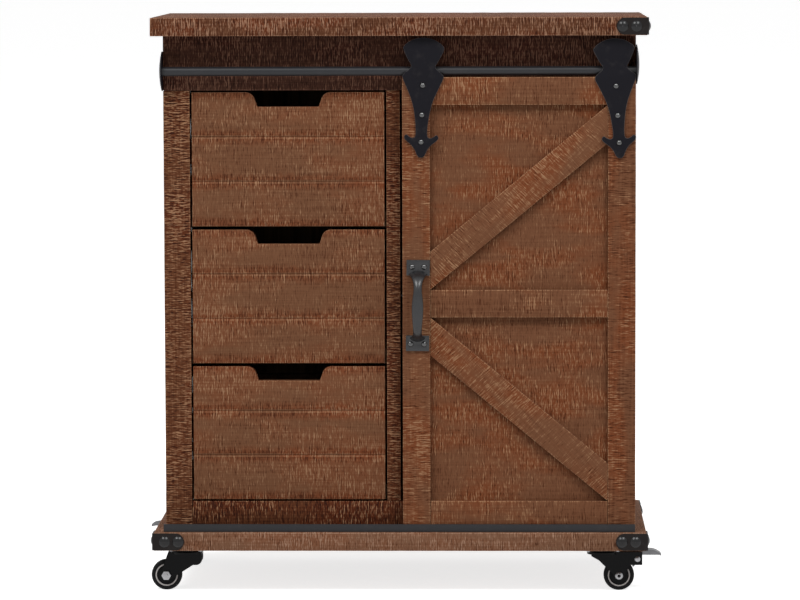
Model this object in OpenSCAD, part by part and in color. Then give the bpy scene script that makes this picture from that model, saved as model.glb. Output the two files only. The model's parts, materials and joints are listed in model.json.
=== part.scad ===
// Rolling storage cabinet: three drawers on the left, and a cupboard on the right behind a
// barn door that slides on a round rod. X runs to the right, Y to the back and Z up. The
// origin is on the floor, under the middle of the cabinet.

/* [Overall] */
// Width of the top and base boards
overall_w = 640; // [600:5:700]
// Depth of the top and base boards
overall_d = 335; // [310:5:380]
// Height of the whole cabinet
overall_h = 748; // [720:1:800]
// Thickness of the top and base boards
board_t = 24; // [20:1:28]

/* [Carcass] */
// How far the boards reach past the sides of the carcass
side_overhang = 14; // [12:1:20]
// How far the boards reach past its front, where the door hangs
front_overhang = 35; // [34:1:42]
// How far the boards reach past its back
back_overhang = 10; // [6:1:14]
// Thickness of the side panels and the partition
panel_t = 15; // [13:1:18]
// Thickness of the back panel
back_t = 6; // [4:1:9]
// Thickness of the cupboard's floor panel
floor_t = 12; // [9:1:15]
// Thickness of the shelf
shelf_t = 15; // [12:1:18]
// Gap between the shelf and the panels round it
shelf_gap = 1; // [0.5:0.5:3]
// Diameter of the shelf pins
shelf_pin_d = 6; // [5:1:8]
// Length of the shelf pins, half of it in the panel
shelf_pin_l = 20; // [16:1:22]

/* [Face frame] */
// Thickness of the face frame
frame_t = 20; // [17:1:24]
// Width of the outer stiles
stile_w = 34.5; // [30:0.5:38]
// Width of the centre stile
centre_stile_w = 18; // [17:0.5:22]
// Distance from the cabinet's middle to the centre stile's left edge
centre_stile_shift = 17; // [15:0.5:18]
// Height of the top rail
top_rail_h = 71; // [66:1:78]
// Height of the bottom rail
bottom_rail_h = 37; // [32:1:45]

/* [Drawers] */
// Gap between a drawer front and the face frame at each side
front_gap_x = 2.5; // [1.5:0.5:4]
// Gap between a drawer front and the edge of its bay, above and below
front_gap_z = 2.2; // [1.5:0.1:4]
// Thickness of the drawer fronts
front_t = 18; // [15:1:20]
// Width of the V-grooves that split a front into planks
groove_w = 3; // [2:0.5:5]
// Width of the finger cutout at its bottom
pull_w = 80; // [60:2:84]
// Width of the finger cutout at the top edge
pull_top_w = 110; // [104:2:120]
// Depth of the finger cutout
pull_depth = 19; // [16:1:24]
// Radius of the cutout's shoulders
pull_round = 12; // [8:1:13]
// Thickness of the drawer box's sides and back
box_t = 12; // [9:1:14]
// Drop of the drawer box's upper edge below the upper edge of its front
box_drop = 35; // [22:1:60]
// Gap between the drawer box and the frame opening at each side
box_gap = 5; // [3:1:8]
// Height of the drawer box above the lower edge of its front
box_rise = 8; // [6:1:12]
// Space behind the drawer box
box_back_gap = 20; // [10:1:40]
// Thickness of the drawer bottom
bottom_t = 5; // [3:1:8]
// Height of the drawer bottom above the lower edge of the sides
bottom_rise = 6; // [4:1:10]
// Thickness of the runner ledge
runner_t = 10; // [8:1:12]
// How far the ledge reaches under the drawer side
runner_reach = 10; // [6:1:12]
// Sliding gap between a drawer box and its runner
runner_gap = 0.3; // [0.2:0.1:1]

/* [Door] */
// Gap between the centre stile and the closed door's left edge, seen from the front
door_side_gap = 3; // [1:0.5:4]
// Gap between the door and the face frame
door_gap = 3; // [2:0.5:4]
// Thickness of the door's back panel
door_panel_t = 12; // [10:1:14]
// Thickness of the frame and brace boards on the panel
door_trim_t = 8; // [6:1:9]
// Width of the door's stiles and rails
door_rail_w = 36; // [30:1:42]
// Width of the diagonal braces
brace_w = 38; // [30:1:44]
// Height of the door's lower edge above the base board
door_rise = 4; // [3.5:0.5:6]
// Gap between the door's upper edge and the rod
door_rod_gap = 1.6; // [1.6:0.2:4]
// Gap between the closed door's edge and the right bracket
door_end_gap = 0.5; // [0.5:0.5:2]

/* [Sliding rail] */
// Diameter of the rod
rod_d = 12; // [10:1:13]
// Drop of the rod's axis below the top board
rod_drop = 45.7; // [42:0.1:50]
// Distance of the rod's axis in front of the face frame
rod_stand = 15; // [14:0.5:16]
// Diameter of the domed end brackets
bracket_d = 51; // [46:1:56]
// Thickness of a bracket at its middle
bracket_t = 4; // [3.5:0.5:7]
// Thickness of a bracket at its rim
bracket_rim_t = 1; // [1:0.5:2]
// Distance from a bracket's middle to the rod's axis
bracket_offset = 11; // [9:1:12]
// Angle at which the left bracket's middle lies above the rod, in degrees
left_bracket_angle = 0; // [0:1:60]
// Angle at which the right bracket's middle lies above the rod, in degrees
right_bracket_angle = 47; // [0:1:60]
// Depth of the seat that holds the rod's end in a bracket
rod_seat = 2; // [1:0.5:2.5]
// Diameter of the stud that fastens a bracket to the top rail
stud_d = 6; // [5:1:8]
// Length of the stud
stud_l = 20; // [15:1:25]

/* [Door guide] */
// Thickness of the L-shaped guide strip
guide_t = 2; // [1.5:0.5:3]
// Height of the strip's front lip
guide_h = 10; // [8:1:14]
// Depth of the strip's foot
guide_depth = 22; // [18:1:26]
// Gap between the lip and the door
guide_gap = 2; // [1:0.5:3]
// How far the strip sits to the left of the middle
guide_shift = 1; // [0:1:4]

/* [Hangers] */
// Length of a hanger strap
hanger_l = 154.4; // [150:0.2:160]
// Width of a strap at its waist
hanger_w = 52.6; // [48:0.2:56]
// Thickness of a strap
strap_t = 3; // [2:0.5:4]
// Distance of the roller axles from the door's edges
hanger_inset = 28.2; // [27:0.2:34]
// Distance of the left roller's axle below its strap's top
left_axle_drop = 23; // [20:0.1:26]
// Distance of the right roller's axle below its strap's top
right_axle_drop = 21.7; // [20:0.1:26]
// Tilt of the left strap in degrees
left_tilt = 1.8; // [-1:0.1:3]
// Tilt of the right strap in degrees
right_tilt = -3.3; // [-4:0.1:0]
// Diameter of the rollers
roller_d = 36; // [32:1:40]
// Width of the rollers
roller_w = 14; // [13:0.5:15]
// Depth of the groove in a roller's rim
groove_depth = 4.1; // [3:0.1:5]
// Diameter of the roller axles
axle_d = 8; // [6:1:10]

/* [Handle] */
// Height of the handle with its plates
handle_h = 118; // [100:1:140]
// Width of the handle's plates
handle_plate_w = 30; // [26:1:34]
// Height of the handle's plates
handle_plate_h = 20; // [18:1:24]
// Thickness of the handle's plates
handle_plate_t = 2.5; // [2:0.5:4]
// Width of the grip in its middle
grip_w = 15; // [12:1:20]
// Thickness of the grip in its middle
grip_t = 7; // [5:0.5:10]
// How far the grip stands out from the door
grip_reach = 24; // [20:1:30]
// Distance of the handle's middle from the door's left edge
handle_inset = 20; // [18:0.5:24]
// Tilt of the handle in degrees
handle_tilt = 0.6; // [-1:0.1:1]

/* [Corner guards] */
// Length of each leg of a guard
guard_l = 40; // [32:1:50]
// Height of a guard
guard_h = 22; // [16:1:24]
// Thickness of a guard
guard_t = 1.5; // [1:0.5:3]
// Diameter of the domed nail heads
nail_head_d = 14.4; // [10:0.2:16]
// Height of the domed nail heads
nail_head_h = 3; // [2:0.5:4]
// Diameter of the nails
nail_d = 3; // [2:0.5:4]
// Length of the nails
nail_l = 10; // [6:1:10]
// Distance of the first nail from the corner
nail_first = 14.5; // [13:0.5:16]
// Distance from the first nail to the second
nail_step = 17.5; // [16:0.5:19]

/* [Casters] */
// Height of a caster
caster_h = 57; // [56:1:64]
// Diameter of the wheels
wheel_d = 40; // [36:1:42]
// Width of the wheels
wheel_w = 15; // [12:1:17]
// Side of the square mounting plates
plate_w = 50; // [46:1:56]
// Thickness of the mounting plates
plate_t = 2.5; // [2:0.5:3]
// Distance of a plain caster's swivel axis from the board's side edge
plain_inset = 40; // [38:1:50]
// Distance of the front braked caster's swivel axis from the board's side edge
brake_inset = 56; // [50:1:66]
// Distance of the rear braked caster's swivel axis from the board's side edge
rear_brake_inset = 39; // [36:1:46]
// Angle at which the rear left caster points to the back, in degrees
rear_left_angle = 35; // [0:5:90]
// Angle at which the rear right caster points to the back, in degrees
rear_right_angle = 50; // [0:5:90]
// Distance of the swivel axes from the board's front and back edges
caster_inset_y = 47; // [40:1:60]
// Distance from the swivel axis to the axle of a plain caster
plain_trail = 26; // [24:1:30]
// Distance from the swivel axis to the axle of a braked caster
brake_trail = 21; // [20:1:22]
// Thickness of the fork's arms
fork_t = 2; // [1.5:0.5:3]
// Gap between a wheel and the fork's arms
fork_gap = 2; // [1:0.5:3]
// Diameter of the fork's round crown
crown_d = 41; // [38:1:44]
// Diameter of the wheel's axle bolt
bolt_d = 6; // [5:1:7]
// Diameter of the kingpin
kingpin_d = 10; // [8:1:12]

/* [Screws] */
// Diameter of the domed heads of the door's screws
door_screw_head_d = 7.6; // [6:0.2:9]
// Height of those heads
door_screw_head_h = 2.4; // [1.5:0.1:3]
// Diameter of the door's screws
door_screw_d = 3.6; // [3:0.2:4.4]
// Length of the door's screws
door_screw_l = 16; // [13:1:18]
// Diameter of the heads of the caster and guide screws
base_screw_head_d = 7; // [6:0.2:8]
// Height of the caster screws' heads
base_screw_head_h = 2.4; // [1.5:0.1:3]
// Height of the guide screws' flat heads
guide_screw_head_h = 1; // [0.6:0.1:1.2]
// Diameter of the caster and guide screws
base_screw_d = 4; // [3:0.2:4.6]
// Length of the caster and guide screws
base_screw_l = 16; // [12:1:18]

/* [Fits] */
// Radial clearance of what turns or slides on a pin
run_clear = 0.05; // [0.02:0.01:0.1]
// Radial clearance of a screw, nail or rod in its hole
hole_clear = 0.1; // [0.05:0.05:0.3]
// Gap between a turning piece and the face beside it
side_gap = 0.3; // [0.2:0.1:0.5]

/* [Hidden] */
$fn = 64;

// Colours
frame_wood = [0.33, 0.19, 0.13];
board_wood = [0.43, 0.28, 0.20];
door_wood = [0.45, 0.29, 0.19];
inner_wood = [0.55, 0.42, 0.31];
black_metal = [0.13, 0.13, 0.15];
zinc = [0.62, 0.63, 0.64];
black_rubber = [0.08, 0.08, 0.08];

// How far a cutting tool runs past the faces that it cuts
overrun = 1;

// Planes and levels of the carcass
board_front = -overall_d / 2;
board_back = overall_d / 2;
board_side = overall_w / 2;
base_top = caster_h + board_t;
top_under = overall_h - board_t;
front = board_front + front_overhang;
back = board_back - back_overhang;
body_side = board_side - side_overhang;
panel_inside = body_side - panel_t;
frame_back = front + frame_t;
panel_back = back - back_t;
opening_top = top_under - top_rail_h;
opening_bottom = base_top + bottom_rail_h;
opening_left = -body_side + stile_w;
opening_right = -centre_stile_shift;
cupboard_left = opening_right + centre_stile_w;
partition_left = cupboard_left - panel_t;
shelf_height_share = 0.5;
shelf_z = opening_bottom + (opening_top - opening_bottom) * shelf_height_share;
shelf_pin_place_shares = [0.15, 0.85];

// Drawers
bay_h = (opening_top - opening_bottom) / 3;
front_left = opening_left + front_gap_x;
front_right = opening_right - front_gap_x;
front_middle = (front_left + front_right) / 2;
plank_count = 3;
pull_round_steps = 8;
box_left = opening_left + box_gap;
box_right = opening_right - box_gap;
box_h = bay_h - 2 * front_gap_z - box_rise - box_drop;
box_front = front + front_t;
box_back = panel_back - box_back_gap;
runner_side_gap = 1;
runner_front = max(frame_back, box_front + runner_side_gap);

// Rod and rollers
rod_z = top_under - rod_drop;
rod_y = front - rod_stand;
roller_z = rod_z + rod_d / 2 + side_gap + roller_d / 2 - groove_depth;

// Door
door_left = cupboard_left + door_side_gap;
door_right = body_side - door_end_gap;
door_bottom = base_top + door_rise;
door_top = rod_z - rod_d / 2 - door_rod_gap;
door_back = front - door_gap;
trim_back = door_back - door_panel_t;
door_face = trim_back - door_trim_t;
strap_face = door_face - strap_t;
inner_left = door_left + door_rail_w;
inner_right = door_right - door_rail_w;
top_rail_under = door_top - door_rail_w;
bottom_rail_top = door_bottom + door_rail_w;
middle_z = (door_top + door_bottom) / 2;
middle_top = middle_z + door_rail_w / 2;
middle_under = middle_z - door_rail_w / 2;

// Each hanger: the place of its axle, the strap's tilt, and its top above the axle
hanger_left = [door_left + hanger_inset, left_tilt, left_axle_drop];
hanger_right = [door_right - hanger_inset, right_tilt, right_axle_drop];
hangers = [hanger_left, hanger_right];
// Right half of the strap's outline, from the tip of the arrow up to the top of the head, as
// shares of half the width and of the length
hanger_shares = [
    [0, 0], [0.12, 0.006], [0.22, 0.028], [0.30, 0.062], [0.50, 0.106], [0.72, 0.136],
    [0.83, 0.158], [0.82, 0.180], [0.72, 0.189], [0.62, 0.176], [0.46, 0.163],
    [0.32, 0.170], [0.28, 0.200], [0.29, 0.250], [0.33, 0.312], [0.41, 0.400],
    [0.53, 0.475], [0.66, 0.531], [0.87, 0.612], [0.98, 0.652], [1.00, 0.682],
    [0.90, 0.704], [0.70, 0.731], [0.60, 0.754], [0.61, 0.775], [0.74, 0.810],
    [0.89, 0.862], [0.99, 0.902], [0.98, 0.924], [0.84, 0.950], [0.60, 0.976],
    [0.32, 0.993], [0, 1]
];
// Places of a strap's screws above the tip of its arrow
hanger_screw_shares = [0.13, 0.357, 0.603];

// Handle
handle_x = door_left + handle_inset;
handle_z = middle_z - 0.018 * handle_h;
// Places of the plates' screws, as shares of half a plate's width and of half the height
handle_screw_shares = [[-0.52, 0.85], [0.52, 0.85], [-0.60, -0.845], [0.58, -0.845]];
grip_steps = 24;
grip_sides = 16;
// Width of the grip from its upper to its lower end, as shares of the middle's width
grip_width_shares = [
    [0, 1.76], [0.04, 1.44], [0.08, 1.15], [0.12, 0.93], [0.17, 0.77], [0.22, 0.70],
    [0.28, 0.72], [0.36, 0.86], [0.44, 0.97], [0.52, 1], [0.60, 0.97], [0.70, 0.87],
    [0.80, 0.76], [0.87, 0.75], [0.91, 0.82], [0.95, 1.02], [1, 1.46]
];
grip_top_share = 0.390;
grip_bottom_share = 0.403;
grip_arch_share = 0.045;

// Guards: the side in X, the side in Y, and whether it sits on the top board
guard_corners = [
    [-1, -1, false], [1, -1, false], [-1, 1, false], [1, 1, false],
    [1, -1, true], [-1, 1, true], [1, 1, true]
];

// Casters: the side in X and in Y, whether it has a brake, and the distance of its swivel
// axis from the board's side edge
caster_front_left = [-1, -1, false, plain_inset];
caster_front_right = [1, -1, true, brake_inset];
caster_rear_left = [-1, 1, true, rear_brake_inset];
caster_rear_right = [1, 1, false, plain_inset];
casters = [caster_front_left, caster_front_right, caster_rear_left, caster_rear_right];
axle_z = wheel_d / 2;
raceway_h = 3.4;
raceway_d = 30;
fork_top = caster_h - plate_t - raceway_h - side_gap;
crown_t = 3;
kingpin_head_d = 16;
kingpin_head_t = 2.5;
arm_inside = wheel_w / 2 + fork_gap;
arm_outside = arm_inside + fork_t;
boss_r = 7.5;
hub_gap = 0.6;
bolt_head_d = 11;
bolt_head_h = 3.5;
nut_d = 12.5;
nut_h = 4;
plate_hole_share = 0.38;

// Plain fork: reach behind the swivel axis, and the rear corner of its arms
plain_back = 20.8;
plain_corner_r = 8;
plain_corner_z = 41.5;
plain_lip_x = 6.5;
plain_crown_front = 23.5;
// Braked fork: reach behind the swivel axis, and its housing past the axle
brake_back = 15.1;
brake_back_z = 45.6;
housing_reach = 30.3;
housing_z = 34;
housing_start = 14.8;

// Brake lever: its pivot from the axle, and its pressed pedal, an arc of sheet metal
pivot_out = 24.1;
pivot_up = 21.7;
pivot_d = 4;
pivot_head_d = 8;
pivot_head_h = 2;
lever_barrel_d = 8;
lever_side_gap = 0.5;
pedal_r = 20;
pedal_t = 1.8;
pedal_middle = 40.5;
pedal_up = 14;
pedal_end = 55;
pedal_low = 27;
shoe_r = 1.5;
shoe_out = 18.6;
shoe_up = 13;

// A box between its lowest and its highest corner
module block(low, high) {
    translate(low) cube(high - low);
}

// A plate with an outline drawn in X and Z, from y to y + t
module plate_xz(y, t) {
    translate([0, y + t, 0]) rotate([90, 0, 0]) linear_extrude(t) children();
}

// A domed head that stands on z = 0, with an upright rim under its dome
module dome(d, h, rim = 0) {
    rise = h - rim;
    sphere_r = (d * d / 4 + rise * rise) / (2 * rise);
    intersection() {
        translate([0, 0, h - sphere_r]) sphere(r = sphere_r, $fn = max($fn, 4 * sphere_r));
        cylinder(d = d, h = h);
    }
}

// A screw or nail: its domed head stands on z = 0, its shank runs down
module fastener(head_d, head_h, shank_d, shank_l) {
    dome(head_d, head_h);
    translate([0, 0, -shank_l]) cylinder(d = shank_d, h = shank_l + head_h / 2);
}

// The hole that a fastener needs below z = 0
module fastener_hole(shank_d, shank_l) {
    hole_l = shank_l + side_gap;
    translate([0, 0, -hole_l]) cylinder(d = shank_d + 2 * hole_clear, h = hole_l + overrun);
}

// Each corner guard's frame: the corner of the board's underside is the origin, and the
// outsides of the board lie on x = 0 and y = 0
module at_guard(corner) {
    level = corner[2] ? top_under : caster_h;
    translate([corner[0] * board_side, corner[1] * board_back, level])
        scale([corner[0], corner[1], 1])
            children();
}

// Each nail of a guard, with z along the nail and its head's seat at z = 0
module at_guard_nails(seat) {
    for (place = [nail_first, nail_first + nail_step]) {
        translate([-place, seat, board_t / 2]) rotate([-90, 0, 0]) children();
        translate([seat, -place, board_t / 2]) rotate([0, 90, 0]) children();
    }
}

module guard_nail_holes(on_top) {
    for (corner = guard_corners) {
        if (corner[2] == on_top) {
            at_guard(corner) at_guard_nails(guard_t) fastener_hole(nail_d, nail_l);
        }
    }
}

// The frame of each caster's plate: the swivel axis stands on the origin
module at_plate(caster) {
    translate([
        caster[0] * (board_side - caster[3]),
        caster[1] * (board_back - caster_inset_y),
        0
    ])
        children();
}

// Angle of each caster's trail from +x: the front wheels trail outwards, and the rear ones
// outwards and to the back
function trail_angle(caster) =
    caster[0] > 0
        ? (caster[1] > 0 ? rear_right_angle : 0)
        : (caster[1] > 0 ? 180 - rear_left_angle : 180);

// Each caster's frame: as its plate's, and the wheel trails towards +x
module at_caster(caster) {
    at_plate(caster) rotate([0, 0, trail_angle(caster)]) children();
}

// Each screw of a caster plate, with its head below and the shank up
module at_plate_screws() {
    for (x = [-1, 1], y = [-1, 1]) {
        translate([x * plate_w * plate_hole_share, y * plate_w * plate_hole_share, 0])
            rotate([180, 0, 0])
                children();
    }
}

// Each screw of the guide strip, with z up at the foot's upper face
module at_guide_screws() {
    for (share = [0.06, 0.35, 0.65, 0.94]) {
        translate([
            -body_side - guide_shift + 2 * body_side * share,
            door_face - guide_gap - guide_t + guide_depth / 2,
            base_top + guide_t
        ])
            children();
    }
}

module top_board() {
    color(board_wood) difference() {
        block([-board_side, board_front, top_under], [board_side, board_back, overall_h]);
        guard_nail_holes(true);
    }
}

module base_board() {
    color(board_wood) difference() {
        block([-board_side, board_front, caster_h], [board_side, board_back, base_top]);
        guard_nail_holes(false);
        for (caster = casters) {
            at_plate(caster)
                translate([0, 0, caster_h - plate_t])
                    at_plate_screws()
                        fastener_hole(base_screw_d, base_screw_l);
        }
        at_guide_screws() fastener_hole(base_screw_d, base_screw_l);
    }
}

module side_panel(side) {
    color(frame_wood) difference() {
        block(
            [side > 0 ? panel_inside : -body_side, frame_back, base_top],
            [side > 0 ? body_side : -panel_inside, back, top_under]
        );
        shelf_pin_holes();
    }
}

module partition() {
    color(inner_wood) difference() {
        block([partition_left, frame_back, base_top], [cupboard_left, panel_back, top_under]);
        shelf_pin_holes();
    }
}

module back_panel() {
    color(inner_wood)
        block([-panel_inside, panel_back, base_top], [panel_inside, back, top_under]);
}

module floor_panel() {
    color(inner_wood)
        block(
            [cupboard_left, frame_back, opening_bottom - floor_t],
            [panel_inside, panel_back, opening_bottom]
        );
}

module shelf() {
    color(inner_wood)
        block(
            [cupboard_left + shelf_gap, frame_back + shelf_gap, shelf_z],
            [panel_inside - shelf_gap, panel_back - shelf_gap, shelf_z + shelf_t]
        );
}

// Cylinders at the shelf's pins, each lying along x with its middle on the panel's face
module at_shelf_pins() {
    for (x = [cupboard_left, panel_inside], share = shelf_pin_place_shares) {
        translate([
            x,
            frame_back + (panel_back - frame_back) * share,
            shelf_z - shelf_pin_d / 2
        ])
            rotate([0, 90, 0])
                children();
    }
}

module shelf_pins() {
    color(zinc) at_shelf_pins() cylinder(d = shelf_pin_d, h = shelf_pin_l, center = true);
}

module shelf_pin_holes() {
    at_shelf_pins()
        cylinder(
            d = shelf_pin_d + 2 * hole_clear, h = shelf_pin_l + 2 * side_gap, center = true
        );
}

module top_rail() {
    color(frame_wood) difference() {
        block([-body_side, front, opening_top], [body_side, frame_back, top_under]);
        for (side = [-1, 1]) {
            at_rod_end(side) bracket_stud(stud_d + 2 * hole_clear, stud_l + side_gap);
        }
    }
}

module stile(x) {
    color(frame_wood) block([x, front, base_top], [x + stile_w, frame_back, opening_top]);
}

// The centre stile stands on the bottom rail, and its right edge bounds the cupboard
module stile_centre() {
    color(frame_wood)
        block(
            [opening_right, front, opening_bottom], [cupboard_left, frame_back, opening_top]
        );
}

module bottom_rail() {
    color(frame_wood)
        block([opening_left, front, base_top], [-opening_left, frame_back, opening_bottom]);
}

// An L-shaped runner: a ledge under the drawer side and a guide strip beside it
module runner(panel_x, box_x, ledge_z) {
    towards = box_x > panel_x ? 1 : -1;
    guide_x = box_x - towards * runner_side_gap;
    ledge_x = box_x + towards * runner_reach;
    block(
        [min(panel_x, ledge_x), runner_front, ledge_z - runner_t],
        [max(panel_x, ledge_x), panel_back, ledge_z]
    );
    block(
        [min(panel_x, guide_x), runner_front, ledge_z - runner_t],
        [max(panel_x, guide_x), panel_back, ledge_z + runner_t]
    );
}

module drawer_runners() {
    color(inner_wood) for (bay = [0 : 2]) {
        ledge_z = opening_bottom + bay * bay_h + front_gap_z + box_rise - runner_gap;
        runner(-panel_inside, box_left, ledge_z);
        runner(partition_left, box_right, ledge_z);
    }
}

module rail_rod() {
    rod_side = body_side + rod_seat;
    color(black_metal)
        translate([-rod_side, rod_y, rod_z])
            rotate([0, 90, 0])
                cylinder(d = rod_d, h = 2 * rod_side);
}

// Frame of each end of the rod: z runs out of the side of the carcass, y to the back, and x
// down on the right side and up on the left one
module at_rod_end(side) {
    translate([side * body_side, rod_y, rod_z]) rotate([0, side * 90, 0]) children();
}

module bracket_stud(d, l) {
    translate([0, front + frame_t / 2 - rod_y, -l]) cylinder(d = d, h = l + bracket_rim_t / 2);
}

// A domed disc on the side of the carcass, with a seat for the rod's end
module rail_bracket(side, turn) {
    color(black_metal) at_rod_end(side) {
        difference() {
            translate([-side * bracket_offset * sin(turn), bracket_offset * cos(turn), 0])
                dome(bracket_d, bracket_t, bracket_rim_t);
            translate([0, 0, -overrun])
                cylinder(d = rod_d + 2 * hole_clear, h = rod_seat + overrun);
        }
        bracket_stud(stud_d, stud_l);
    }
}

module door_guide() {
    lip_front = door_face - guide_gap - guide_t;
    left = -body_side - guide_shift;
    right = body_side - guide_shift;
    color(black_metal) difference() {
        union() {
            block([left, lip_front, base_top], [right, lip_front + guide_t, base_top + guide_h]);
            block([left, lip_front, base_top], [right, lip_front + guide_depth, base_top + guide_t]);
        }
        at_guide_screws() fastener_hole(base_screw_d, base_screw_l);
    }
}

// One leg of a corner guard, drawn along u from the corner, with its far end rounded
module guard_leg() {
    low = (board_t - guard_h) / 2;
    translate([-guard_l + guard_h / 2, low])
        square([guard_l - guard_h / 2 + guard_t, guard_h]);
    translate([-guard_l + guard_h / 2, board_t / 2]) circle(d = guard_h);
}

module corner_guards() {
    color(black_metal) for (corner = guard_corners) {
        at_guard(corner) difference() {
            union() {
                plate_xz(0, guard_t) guard_leg();
                rotate([90, 0, 90]) linear_extrude(guard_t) guard_leg();
            }
            at_guard_nails(guard_t) fastener_hole(nail_d, nail_l);
        }
    }
}

module corner_guard_nails() {
    color(black_metal) for (corner = guard_corners) {
        at_guard(corner)
            at_guard_nails(guard_t)
                fastener(nail_head_d, nail_head_h, nail_d, nail_l);
    }
}

// The door's boards

module door_screw_places() {
    for (hanger = hangers, share = hanger_screw_shares) {
        at_hanger(hanger)
            translate([0, strap_face, (share - 1) * hanger_l + hanger[2]])
                rotate([90, 0, 0])
                    children();
    }
    for (share = handle_screw_shares) {
        at_handle()
            translate([
                share[0] * handle_plate_w / 2, -handle_plate_t, share[1] * handle_h / 2
            ])
                rotate([90, 0, 0])
                    children();
    }
}

module door_screw_holes() {
    door_screw_places() fastener_hole(door_screw_d, door_screw_l);
}

module door_screws() {
    color(black_metal)
        door_screw_places()
            fastener(door_screw_head_d, door_screw_head_h, door_screw_d, door_screw_l);
}

module door_panel() {
    color(door_wood) difference() {
        block([door_left, trim_back, door_bottom], [door_right, door_back, door_top]);
        door_screw_holes();
    }
}

module door_stile(x) {
    color(door_wood) difference() {
        block([x, door_face, door_bottom], [x + door_rail_w, trim_back, door_top]);
        door_screw_holes();
    }
}

module door_rail(z) {
    color(door_wood)
        block([inner_left, door_face, z], [inner_right, trim_back, z + door_rail_w]);
}

// Height of a brace's upright ends, so that its long edges lie brace_w apart while it fills
// an opening of width w and height h from corner to corner
function brace_end(w, h) =
    let (
        a = 1 - pow(brace_w / w, 2),
        b = 2 * h * pow(brace_w / w, 2),
        c = -pow(brace_w, 2) * (1 + pow(h / w, 2))
    )
    (-b + sqrt(b * b - 4 * a * c)) / (2 * a);

module door_brace(from_z, to_z) {
    rise = sign(to_z - from_z) * brace_end(inner_right - inner_left, abs(to_z - from_z));
    color(door_wood) plate_xz(door_face, door_trim_t)
        polygon([
            [inner_left, from_z], [inner_right, to_z - rise],
            [inner_right, to_z], [inner_left, from_z + rise]
        ]);
}

// Smooth closed curve through a list of points, n steps from each point to the next
function curve_point(p, q, r, s, t) =
    (2 * q + (r - p) * t + (2 * p - 5 * q + 4 * r - s) * t * t
        + (3 * q - p - 3 * r + s) * t * t * t) / 2;
function smooth_outline(points, n) =
    let (count = len(points))
    [
        for (i = [0 : count - 1], step = [0 : n - 1])
            curve_point(
                points[(i + count - 1) % count], points[i],
                points[(i + 1) % count], points[(i + 2) % count], step / n
            )
    ];

// Each hanger's frame: the roller's axle is the origin in x and z, y stays as it is
module at_hanger(hanger) {
    translate([hanger[0], 0, roller_z]) rotate([0, hanger[1], 0]) children();
}

module hanger_strap(hanger) {
    last = len(hanger_shares) - 1;
    half = [
        for (share = hanger_shares)
            [share[0] * hanger_w / 2, (share[1] - 1) * hanger_l + hanger[2]]
    ];
    mirrored = [for (i = [last - 1 : -1 : 1]) [-half[i][0], half[i][1]]];
    color(black_metal) difference() {
        at_hanger(hanger)
            plate_xz(strap_face, strap_t)
                polygon(smooth_outline(concat(half, mirrored), 3));
        door_screw_holes();
    }
}

// A roller's axle: a collar on the strap's back, the shaft, and a head behind the roller
module hanger_axles() {
    collar_d = 1.75 * axle_d;
    roller_front = rod_y - roller_w / 2;
    roller_back = rod_y + roller_w / 2;
    head_t = axle_d / 4;
    color(zinc) for (hanger = hangers) {
        translate([hanger[0], 0, roller_z]) rotate([-90, 0, 0]) {
            translate([0, 0, door_face])
                cylinder(d = collar_d, h = roller_front - side_gap - door_face);
            translate([0, 0, door_face])
                cylinder(d = axle_d, h = roller_back + side_gap + head_t / 2 - door_face);
            translate([0, 0, roller_back + side_gap]) cylinder(d = collar_d, h = head_t);
        }
    }
}

module roller(hanger) {
    bore_r = axle_d / 2 + run_clear;
    color(black_metal)
        translate([hanger[0], rod_y, roller_z])
            rotate([-90, 0, 0])
                rotate_extrude() difference() {
                    translate([bore_r, -roller_w / 2])
                        square([roller_d / 2 - bore_r, roller_w]);
                    translate([roller_z - rod_z, 0]) circle(d = rod_d + 2 * side_gap);
                }
}

// The handle's frame: its middle on the door's face, with x and z tilted
module at_handle() {
    translate([handle_x, door_face, handle_z]) rotate([0, handle_tilt, 0]) children();
}

// Half of the grip's width, how far it stands out and half its thickness, from t = 0 at its
// upper end to t = 1 at its lower end. The ends arch up and down at their middle.
function grip_half_width(t) = lookup(t, grip_width_shares) * grip_w / 2;
function grip_stand(t) = (grip_reach - grip_t / 2) * (1 - pow(2 * t - 1, 4));
function grip_half_thickness(t) =
    (grip_t + (0.8 * handle_plate_t - grip_t) * pow(2 * t - 1, 4)) / 2;
function grip_arch(t) = (t < 0.5 ? -1 : 1) * grip_arch_share * handle_h * pow(2 * t - 1, 8);
function grip_point(i, j) =
    let (t = i / grip_steps, a = 360 * j / grip_sides)
    [
        grip_half_width(t) * cos(a),
        -handle_plate_t / 2 - grip_stand(t) - grip_half_thickness(t) * sin(a),
        handle_h * (grip_top_share - (grip_top_share + grip_bottom_share) * t)
            + grip_arch(t) * pow(cos(a), 2)
    ];

module grip() {
    points = [for (i = [0 : grip_steps], j = [0 : grip_sides - 1]) grip_point(i, j)];
    walls = [
        for (i = [0 : grip_steps - 1], j = [0 : grip_sides - 1])
            let (
                k = (j + 1) % grip_sides,
                here = i * grip_sides,
                next = here + grip_sides
            )
            each [[here + j, next + k, here + k], [here + j, next + j, next + k]]
    ];
    first_end = [for (j = [1 : grip_sides - 2]) [0, j, j + 1]];
    last = grip_steps * grip_sides;
    last_end = [for (j = [1 : grip_sides - 2]) [last, last + j + 1, last + j]];
    polyhedron(points, concat(walls, first_end, last_end));
}

module door_handle() {
    half_w = handle_plate_w / 2;
    color(black_metal) {
        difference() {
            at_handle() for (z = [handle_h / 2 - handle_plate_h, -handle_h / 2]) {
                block([-half_w, -handle_plate_t, z], [half_w, 0, z + handle_plate_h]);
            }
            door_screw_holes();
        }
        at_handle() grip();
    }
}

// Drawers

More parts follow.
